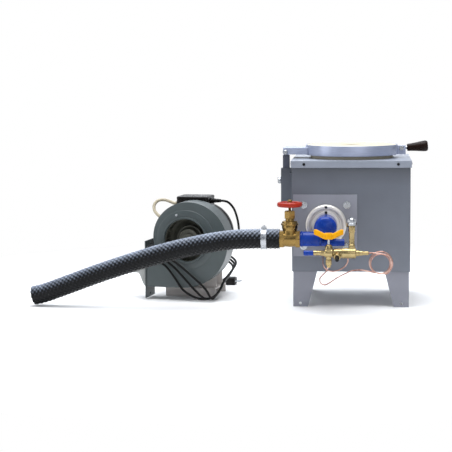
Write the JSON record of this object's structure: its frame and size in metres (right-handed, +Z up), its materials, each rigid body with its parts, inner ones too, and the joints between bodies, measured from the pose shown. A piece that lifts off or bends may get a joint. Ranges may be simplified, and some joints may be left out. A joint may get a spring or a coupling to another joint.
{
  "type": "gas forge",
  "caption": "Square bench gas forge on four legs with a round swing lid, side burner, gas train, air valve, ribbed air hose and electric blower.",
  "frame": {"origin": "centre of the bounding box's base, measured without the air hose, its clamp, the power cord, its relief and its plug", "axes": "+Z up from the floor, +X to the right as seen from the burner's side, -Y towards the viewer in front of the burner"},
  "size_m": [1.1618, 0.6248, 0.4732],
  "materials": {
    "case_paint": "satin",
    "plate_paint": "satin",
    "leg_paint": "satin",
    "post_steel": "satin",
    "lid_steel": "satin",
    "refractory": "matt",
    "hot_face": "matt",
    "zinc": "zinc plated",
    "black_steel": "black oxide",
    "burner_casting": "cast and turned",
    "stainless": "heat tinted",
    "blue_enamel": "gloss",
    "brass": "turned",
    "red_paint": "gloss",
    "hose_rubber": "satin",
    "yellow_coat": "gloss",
    "button_plastic": "matt",
    "copper": "bright copper",
    "grip_wood": "dark stained",
    "blower_paint": "satin",
    "motor_paint": "gloss",
    "base_steel": "satin",
    "adapter_steel": "zinc plated",
    "cream_sleeve": "matt",
    "cord_rubber": "matt"
  },
  "bodies": {
    "forge": {"casing": "case_paint", "top_cover": "case_paint", "floor_pan": "case_paint", "leg_front_left": "leg_paint", "leg_front_right": "leg_paint", "leg_rear_left": "leg_paint", "leg_rear_right": "leg_paint", "insulation": "refractory", "chamber_liner": "refractory", "hearth_block": "hot_face", "post_sleeve": "case_paint", "burner_plate": "plate_paint", "plate_bolt_lower_left": "zinc", "plate_bolt_upper_left": "zinc", "plate_bolt_lower_right": "zinc", "plate_bolt_upper_right": "zinc", "burner_flange": "burner_casting", "flange_screw_outer": "black_steel", "flange_screw_inner": "black_steel", "burner_tube": "stainless", "burner_barrel": "blue_enamel", "air_valve_body": "brass", "air_valve_bonnet": "brass", "packing_nut": "brass", "air_hose": "hose_rubber", "hose_nipple": "brass", "hose_clamp": "zinc", "gas_inlet_cap": "blue_enamel", "gas_cock_body": "brass", "safety_valve_body": "brass", "gas_riser": "brass", "riser_elbow": "zinc", "jet_pipe": "brass", "thermocouple_lead": "copper", "pilot_tube": "copper", "scroll_housing": "blower_paint", "scroll_front": "blower_paint", "motor": "motor_paint", "motor_box": "motor_paint", "blower_base": "base_steel", "outlet_adapter": "adapter_steel", "motor_lead": "cream_sleeve", "cord_relief": "cord_rubber", "power_cord": "cord_rubber", "power_plug": "cord_rubber"},
    "lid_post": {"lid_post": "post_steel"},
    "lid": {"lid_band": "lid_steel", "lid_refractory": "refractory", "lid_arm": "lid_steel", "hinge_pin": "zinc", "handle_rod": "zinc", "handle_grip": "grip_wood"},
    "clamp": {"clamp_screw": "zinc"},
    "valve_wheel": {"handwheel": "red_paint", "valve_stem": "brass"},
    "valve_gate": {"gate_wedge": "brass"},
    "gas_lever": {"gas_handle": "yellow_coat", "gas_cock_stem": "zinc"},
    "button": {"reset_button": "button_plastic"},
    "fan": {"fan_wheel": "black_steel"}
  },
  "joints": [
    {"name": "post_slide", "type": "slide", "parent": "forge", "child": "lid_post", "axis": [0, 0, 1], "range_m": [0, 0.04]},
    {"name": "lid_hinge", "type": "hinge", "parent": "lid_post", "child": "lid", "pos_m": [0.0349, 0.08763, 0.4423], "axis": [0, -1, 0], "range_deg": [0, 100]},
    {"name": "clamp_turn", "type": "hinge", "parent": "forge", "child": "clamp", "pos_m": [0.0349, 0.08763, 0.357], "axis": [-1, 0, 0], "range_deg": [0, 720]},
    {"name": "valve_turn", "type": "hinge", "parent": "forge", "child": "valve_wheel", "pos_m": [0.0579, -0.15737, 0.305], "axis": [0, 0, 1], "range_deg": [0, 2160]},
    {"name": "gate_lift", "type": "slide", "parent": "forge", "child": "valve_gate", "axis": [0, 0, 1], "range_m": [0, 0.03]},
    {"name": "gas_turn", "type": "hinge", "parent": "forge", "child": "gas_lever", "pos_m": [0.1699, -0.22737, 0.226], "axis": [0, 0, 1], "range_deg": [0, 90]},
    {"name": "button_press", "type": "slide", "parent": "forge", "child": "button", "axis": [0, 0.866, 0.5], "range_m": [0, 0.006], "stiffness_N_per_m": 200, "springref_m": -0.002},
    {"name": "fan_spin", "type": "hinge", "parent": "forge", "child": "fan", "pos_m": [-0.2631, 0.01263, 0.1815], "axis": [0.1564, 0.9877, 0], "continuous": true}
  ],
  "couplings": [
    {"joint": "gate_lift", "follows": "valve_turn", "m_per_rad": 0.000795}
  ]
}
